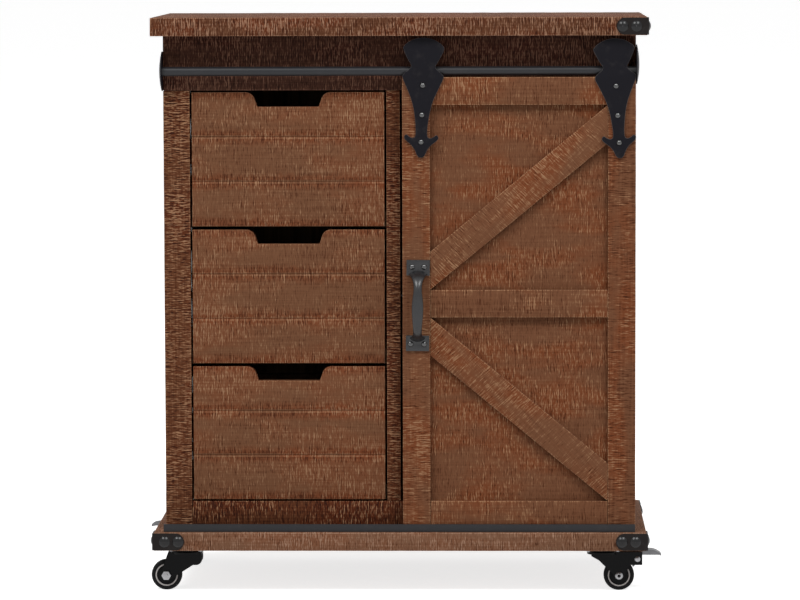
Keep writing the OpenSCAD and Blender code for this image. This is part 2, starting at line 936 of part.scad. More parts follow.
module drawer_front(bay) {
    low = opening_bottom + bay * bay_h + front_gap_z;
    high = low + bay_h - 2 * front_gap_z;
    color(door_wood) difference() {
        block([front_left, front, low], [front_right, box_front, high]);
        for (line = [1 : plank_count - 1]) {
            translate([front_left - overrun, front, low + (high - low) * line / plank_count])
                rotate([0, 90, 0])
                    cylinder(
                        r = groove_w / 2,
                        h = front_right - front_left + 2 * overrun,
                        $fn = 4
                    );
        }
        translate([front_middle, 0, high])
            plate_xz(front - overrun, front_t + 2 * overrun)
                finger_cutout();
    }
}

// The finger cutout, below z = 0: a trapezoid whose upper corners are rounded outwards. Its
// slanted sides run on into the arcs of the shoulders.
module finger_cutout() {
    half = pull_w / 2;
    shoulder = pull_top_w / 2;
    reach = [shoulder - half, pull_depth - pull_round];
    slope = atan2(reach[1], reach[0]) + asin(pull_round / norm(reach));
    arc = [
        for (i = [0 : pull_round_steps])
            let (a = 90 + slope * (1 - i / pull_round_steps))
            [shoulder + pull_round * cos(a), pull_round * (sin(a) - 1)]
    ];
    right = concat([[half, -pull_depth]], arc, [[shoulder, overrun]]);
    left = [for (i = [len(right) - 1 : -1 : 0]) [-right[i][0], right[i][1]]];
    polygon(concat(right, left));
}

module drawer_box(bay) {
    low = opening_bottom + bay * bay_h + front_gap_z + box_rise;
    inner_left = box_left + box_t;
    inner_right = box_right - box_t;
    color(inner_wood) {
        block([box_left, box_front, low], [inner_left, box_back, low + box_h]);
        block([inner_right, box_front, low], [box_right, box_back, low + box_h]);
        block([inner_left, box_back - box_t, low], [inner_right, box_back, low + box_h]);
        block(
            [inner_left, box_front, low + bottom_rise],
            [inner_right, box_back - box_t, low + bottom_rise + bottom_t]
        );
    }
}

// Casters

module caster_plates() {
    color(black_metal) for (caster = casters) {
        at_plate(caster) {
            difference() {
                translate([-plate_w / 2, -plate_w / 2, caster_h - plate_t])
                    cube([plate_w, plate_w, plate_t]);
                translate([0, 0, caster_h - plate_t])
                    at_plate_screws()
                        fastener_hole(base_screw_d, base_screw_l);
            }
            translate([0, 0, fork_top + side_gap])
                cylinder(d = raceway_d, h = raceway_h + plate_t / 2);
            translate([0, 0, fork_top - crown_t - side_gap])
                cylinder(d = kingpin_d, h = crown_t + 2 * side_gap + raceway_h / 2);
            translate([0, 0, fork_top - crown_t - side_gap - kingpin_head_t])
                cylinder(d = kingpin_head_d, h = kingpin_head_t);
        }
    }
}

module base_screws() {
    color(zinc) {
        for (caster = casters) {
            at_plate(caster)
                translate([0, 0, caster_h - plate_t])
                    at_plate_screws()
                        fastener(
                            base_screw_head_d, base_screw_head_h, base_screw_d, base_screw_l
                        );
        }
        at_guide_screws()
            fastener(base_screw_head_d, guide_screw_head_h, base_screw_d, base_screw_l);
    }
}

// Outline of a plain fork's arm, in x from the swivel axis and in z
module plain_arm() {
    corner_x = -plain_back + plain_corner_r;
    translate([corner_x, plain_corner_z]) circle(r = plain_corner_r);
    translate([plain_trail, axle_z]) circle(r = boss_r);
    polygon([
        [-plain_back, fork_top],
        [-plain_back, plain_corner_z],
        [corner_x, plain_corner_z - plain_corner_r],
        [corner_x + plain_corner_r / 2, plain_corner_z - plain_corner_r],
        [plain_trail - boss_r * cos(50), axle_z - boss_r * sin(50)],
        [plain_trail + boss_r * cos(20), axle_z + boss_r * sin(20)],
        [plain_crown_front + fork_t, (fork_top + wheel_d) / 2],
        [plain_crown_front, fork_top]
    ]);
}

// Outline of a braked fork's arm, with the housing that carries the lever
module brake_arm() {
    translate([brake_trail, axle_z]) circle(r = boss_r);
    polygon([
        [-brake_back, fork_top],
        [-brake_back, brake_back_z],
        [-brake_back + (brake_back_z - fork_top / 2) / 2, (brake_back_z + housing_z) / 2],
        [brake_trail - boss_r * cos(10), axle_z + boss_r * sin(10)],
        [brake_trail + boss_r * cos(10), axle_z + boss_r * sin(10)],
        [brake_trail + housing_start, housing_z],
        [brake_trail + housing_reach, housing_z],
        [brake_trail + housing_reach, fork_top]
    ]);
}

module fork(caster) {
    braked = caster[2];
    trail = braked ? brake_trail : plain_trail;
    crown_back = braked ? brake_back : plain_back;
    crown_front = braked ? brake_trail : plain_crown_front;
    color(black_metal) at_caster(caster) difference() {
        union() {
            for (y = [-arm_outside, arm_inside]) {
                plate_xz(y, fork_t) {
                    if (braked) {
                        brake_arm();
                    } else {
                        plain_arm();
                    }
                }
            }
            block(
                [-crown_back, -arm_outside, fork_top - crown_t],
                [crown_front, arm_outside, fork_top]
            );
            translate([0, 0, fork_top - crown_t]) cylinder(d = crown_d, h = crown_t);
        }
        translate([0, 0, fork_top - crown_t - overrun])
            cylinder(d = kingpin_d + 2 * run_clear, h = crown_t + 2 * overrun);
        translate([trail, 0, axle_z])
            rotate([90, 0, 0])
                cylinder(
                    d = bolt_d + 2 * hole_clear, h = 2 * (arm_outside + overrun), center = true
                );
        if (braked) {
            at_pivot()
                cylinder(
                    d = pivot_d + 2 * hole_clear, h = 2 * (arm_outside + overrun), center = true
                );
        }
    }
}

// The brake's pivot, with z across the fork, in the caster's frame
module at_pivot() {
    translate([brake_trail + pivot_out, 0, axle_z + pivot_up])
        rotate([90, 0, 0])
            children();
}

// The axle bolt with its round head in front and its nut behind, and the brake's rivet
module bolts(caster) {
    trail = caster[2] ? brake_trail : plain_trail;
    color(zinc) at_caster(caster) {
        translate([trail, 0, axle_z]) rotate([90, 0, 0]) {
            cylinder(d = bolt_d, h = 2 * arm_outside + nut_h, center = true);
            translate([0, 0, arm_outside]) dome(bolt_head_d, bolt_head_h);
            translate([0, 0, -arm_outside - nut_h]) cylinder(d = nut_d, h = nut_h, $fn = 6);
        }
        if (caster[2]) {
            at_pivot() {
                cylinder(d = pivot_d, h = 2 * arm_outside + pivot_head_h, center = true);
                for (side = [0, 180]) {
                    rotate([side, 0, 0])
                        translate([0, 0, arm_outside])
                            dome(pivot_head_d, pivot_head_h);
                }
            }
        }
    }
}

// A wheel's profile: hub, recess, ring and tyre on both sides of its middle plane
module wheel_profile() {
    bore_r = bolt_d / 2 + run_clear;
    hub_r = 0.34 * wheel_d / 2;
    ring_r = 0.64 * wheel_d / 2;
    hub_y = arm_inside - hub_gap;
    recess_y = 0.78 * wheel_w / 2;
    shoulder_r = 0.92 * wheel_d / 2;
    tread_y = 0.66 * wheel_w / 2;
    half = [
        [wheel_d / 2, tread_y], [shoulder_r, wheel_w / 2], [ring_r, wheel_w / 2],
        [ring_r, recess_y], [hub_r, recess_y], [hub_r, hub_y], [bore_r, hub_y]
    ];
    mirrored = [for (i = [len(half) - 1 : -1 : 0]) [half[i][0], -half[i][1]]];
    polygon(concat(half, mirrored));
}

module wheel(caster) {
    trail = caster[2] ? brake_trail : plain_trail;
    color(black_rubber) at_caster(caster)
        translate([trail, 0, axle_z])
            rotate([-90, 0, 0])
                rotate_extrude() wheel_profile();
}

// Outline of the brake lever, in x and z from the axle: a barrel on the pivot, a shoe near
// the tread and the pedal's arc of sheet
module lever_outline() {
    translate([pivot_out, pivot_up]) circle(d = lever_barrel_d);
    translate([shoe_out, shoe_up]) circle(r = shoe_r);
    polygon([
        [shoe_out - shoe_r, shoe_up],
        [shoe_out, shoe_up - shoe_r],
        [pivot_out + lever_barrel_d / 3, pivot_up - lever_barrel_d / 3],
        [pivot_out - lever_barrel_d / 3, pivot_up + lever_barrel_d / 3]
    ]);
    intersection() {
        translate([pedal_middle, pedal_up]) circle(r = pedal_r);
        translate([pivot_out - lever_barrel_d / 2, pivot_up])
            square([lever_barrel_d, pedal_r]);
    }
    intersection() {
        translate([pedal_middle, pedal_up]) difference() {
            circle(r = pedal_r);
            circle(r = pedal_r - pedal_t);
        }
        translate([pivot_out, pivot_up]) square([pedal_end - pivot_out, pedal_r]);
    }
}

// One side of the pedal, folded down from its arc to a level edge
module pedal_flange() {
    intersection() {
        translate([pedal_middle, pedal_up]) circle(r = pedal_r);
        translate([pivot_out, pedal_low]) square([pedal_end - pivot_out, pedal_r]);
    }
}

module brake_lever(caster) {
    half_w = arm_inside - lever_side_gap;
    color(zinc) at_caster(caster) difference() {
        translate([brake_trail, 0, axle_z]) {
            plate_xz(-half_w, 2 * half_w) lever_outline();
            for (y = [-half_w, half_w - pedal_t]) {
                plate_xz(y, pedal_t) pedal_flange();
            }
        }
        at_pivot()
            cylinder(d = pivot_d + 2 * run_clear, h = 2 * (half_w + overrun), center = true);
    }
}

top_board();
base_board();
side_panel(-1);  // side_panel_left
side_panel(1);  // side_panel_right
partition();
back_panel();
floor_panel();
shelf();
shelf_pins();
top_rail();
stile(-body_side);  // stile_left
stile_centre();
stile(body_side - stile_w);  // stile_right
bottom_rail();
drawer_runners();
rail_rod();
rail_bracket(-1, left_bracket_angle);  // rail_bracket_left
rail_bracket(1, right_bracket_angle);  // rail_bracket_right
door_guide();
corner_guards();
corner_guard_nails();
caster_plates();
base_screws();
door_panel();
door_stile(door_left);  // door_stile_left
door_stile(inner_right);  // door_stile_right
door_rail(top_rail_under);  // door_rail_top
door_rail(middle_under);  // door_rail_middle
door_rail(door_bottom);  // door_rail_bottom
door_brace(middle_top, top_rail_under);  // door_brace_upper
door_brace(middle_under, bottom_rail_top);  // door_brace_lower
door_handle();
hanger_strap(hanger_left);
hanger_strap(hanger_right);
door_screws();
hanger_axles();
roller(hanger_left);  // roller_left
roller(hanger_right);  // roller_right
drawer_front(0);  // drawer_bottom_front
drawer_box(0);  // drawer_bottom_box
drawer_front(1);  // drawer_middle_front
drawer_box(1);  // drawer_middle_box
drawer_front(2);  // drawer_top_front
drawer_box(2);  // drawer_top_box
fork(caster_front_left);  // fork_front_left
fork(caster_front_right);  // fork_front_right
fork(caster_rear_left);  // fork_rear_left
fork(caster_rear_right);  // fork_rear_right
wheel(caster_front_left);  // wheel_front_left
wheel(caster_front_right);  // wheel_front_right
wheel(caster_rear_left);  // wheel_rear_left
wheel(caster_rear_right);  // wheel_rear_right
bolts(caster_front_left);  // bolts_front_left
bolts(caster_front_right);  // bolts_front_right
bolts(caster_rear_left);  // bolts_rear_left
bolts(caster_rear_right);  // bolts_rear_right
brake_lever(caster_front_right);  // brake_lever_front_right
brake_lever(caster_rear_left);  // brake_lever_rear_left
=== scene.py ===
"""Rolling storage cabinet: rough-sawn boards, black ironwork, casters and the stage, made
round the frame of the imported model."""
import json
from math import atan2, cos, pi, radians, sin

import bmesh
import bpy
from bpy.props import FloatProperty, FloatVectorProperty, PointerProperty
from mathutils import Color, Matrix, Vector, noise


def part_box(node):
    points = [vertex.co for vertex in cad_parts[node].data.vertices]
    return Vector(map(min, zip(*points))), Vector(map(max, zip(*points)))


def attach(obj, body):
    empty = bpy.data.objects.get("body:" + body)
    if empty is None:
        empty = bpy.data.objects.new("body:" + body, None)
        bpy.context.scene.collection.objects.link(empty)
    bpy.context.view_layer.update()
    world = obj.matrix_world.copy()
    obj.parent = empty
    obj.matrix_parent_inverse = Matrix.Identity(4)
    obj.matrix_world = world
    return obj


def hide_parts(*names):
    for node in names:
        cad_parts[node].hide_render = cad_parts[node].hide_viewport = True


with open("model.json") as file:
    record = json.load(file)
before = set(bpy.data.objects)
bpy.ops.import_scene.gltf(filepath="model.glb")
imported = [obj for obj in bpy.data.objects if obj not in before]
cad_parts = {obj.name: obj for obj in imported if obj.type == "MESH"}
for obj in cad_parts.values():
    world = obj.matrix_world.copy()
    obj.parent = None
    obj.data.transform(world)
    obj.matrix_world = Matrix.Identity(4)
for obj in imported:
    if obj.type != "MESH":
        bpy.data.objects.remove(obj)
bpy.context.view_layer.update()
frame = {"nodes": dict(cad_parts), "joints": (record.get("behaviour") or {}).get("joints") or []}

MM = 0.001

bl_info = {
    "name": "Rolling Storage Cabinet",
    "version": (1, 0, 0),
    "blender": (4, 5, 0),
    "location": "View3D > Sidebar > Cabinet",
    "description": "Finishes of a rolling storage cabinet with a sliding barn door",
    "category": "Object",
}


# Properties

def colour(name, description, red, green, blue):
    """A colour property, given in the usual steps of 0 to 255."""
    return FloatVectorProperty(
        name=name, description=description, subtype="COLOR_GAMMA", size=3, min=0, max=1,
        default=(red / 255, green / 255, blue / 255))


def length(name, description, millimetres):
    """A length property, kept in metres."""
    return FloatProperty(
        name=name, description=description, subtype="DISTANCE", unit="LENGTH", min=0,
        default=millimetres * MM)


def amount(name, description, value, high=1.0):
    """A plain number property."""
    return FloatProperty(
        name=name, description=description, subtype="FACTOR", min=0, max=high, default=value)


class CabinetColours(bpy.types.PropertyGroup):
    """Colours of the cabinet's finishes"""

    rail_dark: colour("Top rail, kerfs", "Stain left in the top rail's kerfs", 38, 17, 9)
    rail_red: colour("Top rail, red", "Reddest stain of the top rail", 66, 30, 20)
    rail_mean: colour("Top rail", "Stained wood of the top rail", 70, 42, 31)
    rail_light: colour("Top rail, ridges", "Rubbed ridges of the top rail", 124, 88, 70)
    frame_dark: colour("Frame, kerfs", "Stain left in the frame's saw kerfs", 44, 16, 5)
    frame_red: colour("Frame, red", "Reddest stain of the face frame", 88, 38, 15)
    frame_mean: colour("Frame", "Stained wood of the face frame", 93, 53, 31)
    frame_light: colour("Frame, ridges", "Rubbed ridges of the face frame", 154, 115, 85)
    drawer_dark: colour("Drawers, kerfs", "Stain left in the drawers' kerfs", 70, 34, 16)
    drawer_red: colour("Drawers, red", "Reddest stain of the drawers", 118, 61, 33)
    drawer_mean: colour("Drawers", "Stained wood of the drawer fronts", 110, 73, 50)
    drawer_light: colour("Drawers, ridges", "Rubbed ridges of the drawers", 152, 115, 86)
    door_dark: colour("Door, kerfs", "Stain left in the door's kerfs", 70, 34, 15)
    door_red: colour("Door, red", "Reddest stain of the door", 116, 60, 31)
    door_mean: colour("Door", "Stained wood of the door", 110, 71, 48)
    door_light: colour("Door, ridges", "Rubbed ridges of the door", 156, 117, 86)
    top_dark: colour("Top, kerfs", "Stain left in the top board's kerfs", 56, 24, 10)
    top_red: colour("Top, red", "Reddest stain of the top board", 104, 50, 25)
    top_mean: colour("Top", "Stained wood of the top board", 90, 54, 34)
    top_light: colour("Top, ridges", "Rubbed ridges of the top board", 152, 115, 91)
    base_dark: colour("Base, kerfs", "Stain left in the base board's kerfs", 76, 42, 24)
    base_red: colour("Base, red", "Reddest stain of the base board", 122, 78, 54)
    base_mean: colour("Base", "Stained wood of the base board", 118, 83, 62)
    base_light: colour("Base, ridges", "Rubbed ridges of the base board", 158, 124, 102)
    inner_dark: colour("Inside, dark", "Dark grain of the inner boards", 108, 76, 52)
    inner_mean: colour("Inside", "Plain wood of the inner boards", 134, 98, 70)
    inner_light: colour("Inside, light", "Light grain of the inner boards", 156, 120, 90)
    iron: colour("Ironwork", "Satin black paint of the ironwork", 22, 21, 26)
    rail_iron: colour("Rod and strip", "Paint of the rod and the guide strip", 30, 30, 33)
    handle: colour("Handle", "Black paint of the handle", 24, 24, 26)
    nail: colour("Nails", "Polished black of the corner guards' nails", 16, 15, 16)
    screw: colour("Screws", "Blackened steel of the door's screws", 14, 14, 15)
    # Also the painted highlight on the rounded edges of the hangers and the handle.
    iron_worn: colour("Ironwork, worn", "Ironwork where it is rubbed", 78, 74, 73)
    guard: colour("Guards", "Black paint of the corner guards", 28, 24, 23)
    steel_black: colour("Forks", "Gloss black of the casters' forks", 9, 9, 10)
    tyre: colour("Tyres", "Black rubber of the wheels", 12, 12, 13)
    ring: colour("Wheel rings", "Light plastic ring on each wheel", 196, 190, 187)
    zinc: colour("Zinc", "Zinc plating of nuts and rivets", 158, 158, 160)
    lever: colour("Brake lever", "Satin steel of the brake levers", 104, 104, 106)
    floor: colour("Floor", "The pale floor", 236, 236, 236)


class CabinetSizes(bpy.types.PropertyGroup):
    """Sizes of the finishes and the small forms"""

    arris: length("Arris", "Width of the worn edges of the boards", 1.0)
    arris_step: length("Arris step", "Distance between two points of a worn edge", 9)
    arris_wave: length("Arris wave", "How far a worn edge wanders inwards", 0.35)
    saw_pitch: length("Saw pitch", "Distance between two saw marks", 2.9)
    saw_length: length("Saw mark length", "Usual length of one saw mark", 15)
    fibre_pitch: length("Fibre pitch", "Distance between two fibres", 2.4)
    fibre_length: length("Fibre length", "Usual length of one fibre", 70)
    patch_length: length("Patch length", "Length of a patch of darker stain", 95)
    patch_width: length("Patch width", "Width of a patch of darker stain", 34)
    kerf_depth: length("Kerf depth", "Depth of the saw marks", 0.35)


class CabinetStage(bpy.types.PropertyGroup):
    """The lamps and the camera"""

    lamp_side: length("Lamp side", "How far each lamp stands to its side", 2300)
    lamp_front: length("Lamp front", "How far the lamps stand in front", 3500)
    lamp_height: length("Lamp height", "How high the lamps hang", 5200)
    lamp_aim: length("Lamp aim", "Height that the lamps point at", 420)
    lamp_power: FloatProperty(
        name="Lamp power", description="Power of each large lamp", unit="POWER", min=0,
        default=178)
    lamp_size: length("Lamp size", "Side of each large lamp", 2400)
    sky: amount("Sky", "Strength of the even light from all round", 0.28, 4)
    focal: FloatProperty(
        name="Focal length", description="The camera's focal length in millimetres",
        subtype="DISTANCE_CAMERA", min=1, default=196.053)
    distance: length("Distance", "The camera's distance from the boards' front", 5600)
    camera_side: length("Camera side", "How far the camera stands to the right", 135.34)
    camera_height: length("Camera height", "How high the camera stands", 854.25)
    yaw: FloatProperty(
        name="Turn", description="The camera's turn to the left", subtype="ANGLE",
        unit="ROTATION", default=0.02395)
    pitch: FloatProperty(
        name="Tilt", description="The camera's tilt downwards", subtype="ANGLE",
        unit="ROTATION", default=0.08378)
    roll: FloatProperty(
        name="Roll", description="The camera's roll", subtype="ANGLE", unit="ROTATION",
        default=-0.00273)


def colours():
    return bpy.context.scene.cabinet_colours


def sizes():
    return bpy.context.scene.cabinet_sizes


def stage():
    return bpy.context.scene.cabinet_stage


def linear(shade):
    """A colour property as the linear colour with alpha that a shader's socket takes."""
    return (*Color(shade).from_srgb_to_scene_linear(), 1)


# Materials

class Value:
    """A shader's socket on which +, -, * and / add Math nodes."""

    def __init__(self, graph, socket):
        self.graph = graph
        self.socket = socket

    def math(self, operation, first, second):
        return self.graph.add(
            "ShaderNodeMath", {"operation": operation}, {0: first, 1: second})

    def __add__(self, other):
        return self.math("ADD", self, other)

    def __radd__(self, other):
        return self.math("ADD", other, self)

    def __sub__(self, other):
        return self.math("SUBTRACT", self, other)

    def __rsub__(self, other):
        return self.math("SUBTRACT", other, self)

    def __mul__(self, other):
        return self.math("MULTIPLY", self, other)

    def __rmul__(self, other):
        return self.math("MULTIPLY", other, self)

    def __truediv__(self, other):
        return self.math("DIVIDE", self, other)

    def minimum(self, other):
        return self.math("MINIMUM", self, other)

    def sine(self):
        return self.math("SINE", self, 0)


class Graph:
    """The shader nodes of a material or of the world."""

    def __init__(self, owner):
        self.owner = owner
        owner.use_nodes = True
        self.tree = owner.node_tree
        self.tree.nodes.clear()

    def add(self, kind, settings=None, inputs=None, output=0):
        """Adds a node, sets it, fills or links its sockets, and returns one output."""
        node = self.tree.nodes.new(kind)
        for name, value in (settings or {}).items():
            setattr(node, name, value)
        for key, value in (inputs or {}).items():
            socket = node.inputs[key]
            if isinstance(value, Value):
                self.tree.links.new(value.socket, socket)
            else:
                socket.default_value = value
        return Value(self, node.outputs[output]) if node.outputs else None

    def mix(self, factor, first, second, blend="MIX"):
        """Mixes two colours."""
        return self.add(
            "ShaderNodeMix", {"data_type": "RGBA", "blend_type": blend},
            {0: factor, 6: first, 7: second}, output=2)

    def place(self, turn=0.0):
        """Places in the object's own frame, turned about Y."""
        here = self.add("ShaderNodeTexCoord", output="Object")
        if turn:
            here = self.add(
                "ShaderNodeMapping", {"vector_type": "POINT"},
                {"Vector": here, "Rotation": (0, turn, 0)})
        return here

    def stretched(self, here, cell, detail=2.0, rough=0.5, seed=0.0):
        """Noise whose cells are as large as cell says, in metres along X, Y and Z."""
        scaled = self.add(
            "ShaderNodeVectorMath", {"operation": "MULTIPLY_ADD"},
            {0: here, 1: tuple(1 / side for side in cell), 2: (seed, seed, seed)})
        return self.add(
            "ShaderNodeTexNoise", {},
            {"Vector": scaled, "Scale": 1.0, "Detail": detail, "Roughness": rough})

    def step(self, value, low, high):
        """A smooth step from 0 at low to 1 at high."""
        return self.add(
            "ShaderNodeMapRange", {"interpolation_type": "SMOOTHSTEP"},
            {"Value": value, "From Min": low, "From Max": high})

    def bump(self, height, depth, strength=1.0):
        return self.add(
            "ShaderNodeBump", {},
            {"Height": height, "Distance": depth, "Strength": strength})

    def axis(self, here, name):
        """One coordinate of a place."""
        return self.add("ShaderNodeSeparateXYZ", {}, {"Vector": here}, output=name)

    def finish(self, **inputs):
        """Adds the Principled shader with these sockets, and the output."""
        named = {key.replace("_", " "): value for key, value in inputs.items()}
        shader = self.add("ShaderNodeBsdfPrincipled", {}, named)
        self.add("ShaderNodeOutputMaterial", {}, {"Surface": shader})
        return self.owner


def cell(along, long_side, cross_side):
    """The size of a noise cell that is long_side along the board and cross_side across."""
    return tuple(long_side if name == along else cross_side for name in "XYZ")


def sawn_wood(name, shades, along, saw=1.0, thread=0.25, wear=0.0, turn=0.0, planks=None):
    """Rough-sawn and stained wood: ridges left by the saw run across the board.

    shades are the colours of the kerfs, the reddest stain, the wood and the ridges. along is
    the board's long direction, saw the strength of the saw marks, thread that of the fibres
    along the board, and lightening how much lighter all of it is made, and darker below 0; on
    the boards' rounded edges that lighter stain is partly wear and partly a painted highlight.
    planks is (lowest Z, height) of planks whose meeting edges are redder and more marked, and
    darker towards each joint, which is painted shade."""
    s = sizes()
    dark, red, mean, light = (linear(shade) for shade in shades)
    graph = Graph(bpy.data.materials.new(name))
    here = graph.place(turn)
    half_pitch = s.saw_pitch / 2
    sway = graph.stretched(here, cell(along, 12 * MM, 40 * MM), detail=2, seed=3)
    comb = ((graph.axis(here, along) / s.saw_pitch + sway * 4) * (2 * pi)).sine()
    marks = graph.stretched(here, cell(along, half_pitch, s.saw_length), detail=1)
    nicks = graph.stretched(
        here, cell(along, 0.6 * half_pitch, 0.35 * s.saw_length), detail=1, seed=7)
    gaps = graph.stretched(here, cell(along, 7 * MM, s.saw_length), detail=2, seed=23)
    fibres = graph.stretched(
        here, cell(along, s.fibre_length, s.fibre_pitch), detail=3, rough=0.6, seed=11)
    patch = graph.stretched(
        here, cell(along, s.patch_length, s.patch_width), detail=3, seed=5)
    cloud = graph.stretched(here, (150 * MM,) * 3, detail=2, seed=17)

    reach = 0.7 + 0.7 * graph.step(patch + (gaps - 0.5) * 0.5, 0.36, 0.66)
    cuts = (
        comb * graph.step(gaps, 0.34, 0.62) * 0.10 + (marks - 0.5) * 0.7 + (nicks - 0.5) * 0.7)
    lines = fibres - 0.5
    redness = graph.step(cloud * 0.4 + patch * 0.6, 0.44, 0.60) * 0.8
    if planks:
        low, height = planks
        part = graph.add(
            "ShaderNodeMath", {"operation": "FRACT"},
            {0: (graph.axis(here, "Z") - low) / height})
        near = 1 - graph.step(
            part.minimum(1 - part) + (patch - 0.5) * 0.3 + (gaps - 0.5) * 0.2, 0.03, 0.22)
        reach = reach * 0.8 + near * 0.6
        redness = redness * 0.5 + near * 0.5
    relief = cuts * reach * (4.2 * saw) + lines * (4.2 * thread)
    # lightening brightens the whole wood; on the rounded edges it is partly wear and partly a
    # painted highlight.
    tone = relief + (patch - 0.5) * 0.5 + (cloud - 0.5) * 0.5 + (0.46 + 0.35 * wear)
    # Painted shade: each plank is darker towards its joints.
    if planks:
        tone = tone - near * 0.2
    ground = graph.mix(redness, mean, red)
    shade = graph.mix(graph.step(tone, 0.42, -0.35), ground, dark)
    shade = graph.mix(graph.step(tone, 0.50, 1.25), shade, light)
    return graph.finish(
        Base_Color=shade, Roughness=0.78 + (marks - 0.5) * 0.2, Specular_IOR_Level=0.12,
        Normal=graph.bump(relief, s.kerf_depth, 0.5))


def plain_wood(name, shades, along):
    """Planed wood with a quiet grain, for what is inside and behind."""
    s = sizes()
    dark, mean, light = (linear(shade) for shade in shades)
    graph = Graph(bpy.data.materials.new(name))
    here = graph.place()
    grain = graph.stretched(
        here, cell(along, 5 * s.fibre_length, 4 * s.fibre_pitch), detail=4, rough=0.6)
    fibre = graph.stretched(
        here, cell(along, s.fibre_length, s.fibre_pitch), detail=2, seed=9)
    shade = graph.mix(graph.step(grain, 0.38, 0.62), dark, mean)
    shade = graph.mix(graph.step(fibre, 0.5, 0.72) * 0.5, shade, light)
    return graph.finish(
        Base_Color=shade, Roughness=0.6 + (fibre - 0.5) * 0.2, Specular_IOR_Level=0.35,
        Normal=graph.bump(grain * 0.5 + fibre, 0.15 * MM, 0.4))


def black_paint(name, shade, worn, rough, gloss, rub=0.12):
    """Satin paint over iron, slightly uneven and rubbed in places."""
    graph = Graph(bpy.data.materials.new(name))
    here = graph.place()
    peel = graph.stretched(here, (1.6 * MM,) * 3, detail=2)
    rubs = graph.stretched(here, (14 * MM,) * 3, detail=4, rough=0.65, seed=4)
    bare = graph.step(rubs, 0.52, 0.74)
    tone = graph.mix(bare * rub, linear(shade), linear(worn))
    return graph.finish(
        Base_Color=tone, Roughness=rough + (peel - 0.5) * 0.16 + bare * 0.06,
        Specular_IOR_Level=gloss, Normal=graph.bump(peel, 0.06 * MM, 0.5))


def bare_metal(name, shade, rough):
    """Zinc or steel with fine brushing."""
    graph = Graph(bpy.data.materials.new(name))
    here = graph.place()
    brush = graph.stretched(here, (0.8 * MM,) * 3, detail=2)
    dull = graph.stretched(here, (7 * MM,) * 3, detail=3, seed=6)
    tone = graph.mix(
        graph.step(dull, 0.4, 0.7) * 0.3, linear(shade), (0.25, 0.25, 0.26, 1))
    return graph.finish(
        Base_Color=tone, Metallic=0.85, Roughness=rough + (brush - 0.5) * 0.2,
        Normal=graph.bump(brush, 0.03 * MM, 0.4))


def moulded(name, shade, rough, gloss=0.4, dusty=0.12):
    """Moulded rubber or plastic with a fine skin and a little dust."""
    graph = Graph(bpy.data.materials.new(name))
    here = graph.place()
    skin = graph.stretched(here, (0.7 * MM,) * 3, detail=2)
    dust = graph.stretched(here, (9 * MM,) * 3, detail=3, seed=8)
    tone = graph.mix(
        graph.step(dust, 0.5, 0.8) * dusty, linear(shade), (0.4, 0.38, 0.36, 1))
    return graph.finish(
        Base_Color=tone, Roughness=rough + (skin - 0.5) * 0.12,
        Specular_IOR_Level=gloss, Normal=graph.bump(skin, 0.05 * MM, 0.4))


FINISHES = {}


def finish(name, make, *args, **settings):
    """The material of that name, made once."""
    if name not in FINISHES:
        FINISHES[name] = make(name, *args, **settings)
    return FINISHES[name]


def shades(kind, *steps):
    """The colour properties of one kind of wood."""
    c = colours()
    return tuple(getattr(c, f"{kind}_{step}") for step in steps)


def sawn(name, kind, along, **settings):
    """The sawn wood of that name, in the colours of its kind."""
    return finish(
        name, sawn_wood, shades(kind, "dark", "red", "mean", "light"), along, **settings)


def planed(name, along):
    """The plain wood of the inner boards."""
    return finish(name, plain_wood, shades("inner", "dark", "mean", "light"), along)


def iron():
    c = colours()
    return finish("black_iron", black_paint, c.iron, c.iron_worn, 0.46, gloss=0.08)


def rail_iron():
    c = colours()
    return finish("rail_iron", black_paint, c.rail_iron, c.iron_worn, 0.38, gloss=0.3)


def polished_black():
    c = colours()
    return finish("polished_black", black_paint, c.nail, c.iron, 0.22, gloss=0.3)


def screw_steel():
    """Blackened steel that shines a little more than the straps."""
    c = colours()
    return finish("screw_steel", black_paint, c.screw, c.iron, 0.12, gloss=1.0)


# Lighter grey for the rounded edges of the hangers and the handle: partly wear, partly a painted
# highlight.
def rubbed_edge():
    c = colours()
    return finish("rubbed_edge", black_paint, c.iron_worn, c.iron, 0.4, rub=0.5, gloss=0.3)


def zinc():
    return finish("zinc_plate", bare_metal, colours().zinc, 0.34)


# Meshes

def wander(bm, centre):
    """Moves the points of a board's worn edges a little inwards, more here and less there."""
    deepest = sizes().arris_wave
    for vert in bm.verts:
        for axis in range(3):
            spot = vert.co * 55 + Vector((axis * 7.3, 0, 0))
            inwards = deepest * (0.5 + 0.5 * noise.noise(spot))
            if abs(vert.co[axis] - centre[axis]) > 2 * sizes().arris:
                vert.co[axis] -= inwards * (1 if vert.co[axis] > centre[axis] else -1)


def bevel_edges(bm, width):
    """Rounds every sharp edge, and gives the round the second material."""
    sharp = [edge for edge in bm.edges if edge.calc_face_angle(0) > radians(25)]
    bmesh.ops.bevel(
        bm, geom=sharp, offset=width, offset_type="OFFSET", segments=2, profile=0.6,
        affect="EDGES", clamp_overlap=True, material=1)


def make_piece(name, bm, materials, body, nodes=()):
    """Makes an object from a mesh, rides it on its body and hides the nodes it stands for."""
    mesh = bpy.data.meshes.new(name)
    bmesh.ops.recalc_face_normals(bm, faces=bm.faces)
    bm.to_mesh(mesh)
    bm.free()
    for material in materials:
        mesh.materials.append(material)
    mesh.shade_smooth()
    mesh.set_sharp_from_angle(angle=radians(35))
    piece = bpy.data.objects.new(name, mesh)
    bpy.context.scene.collection.objects.link(piece)
    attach(piece, body)
    if nodes:
        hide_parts(*nodes)
    return piece


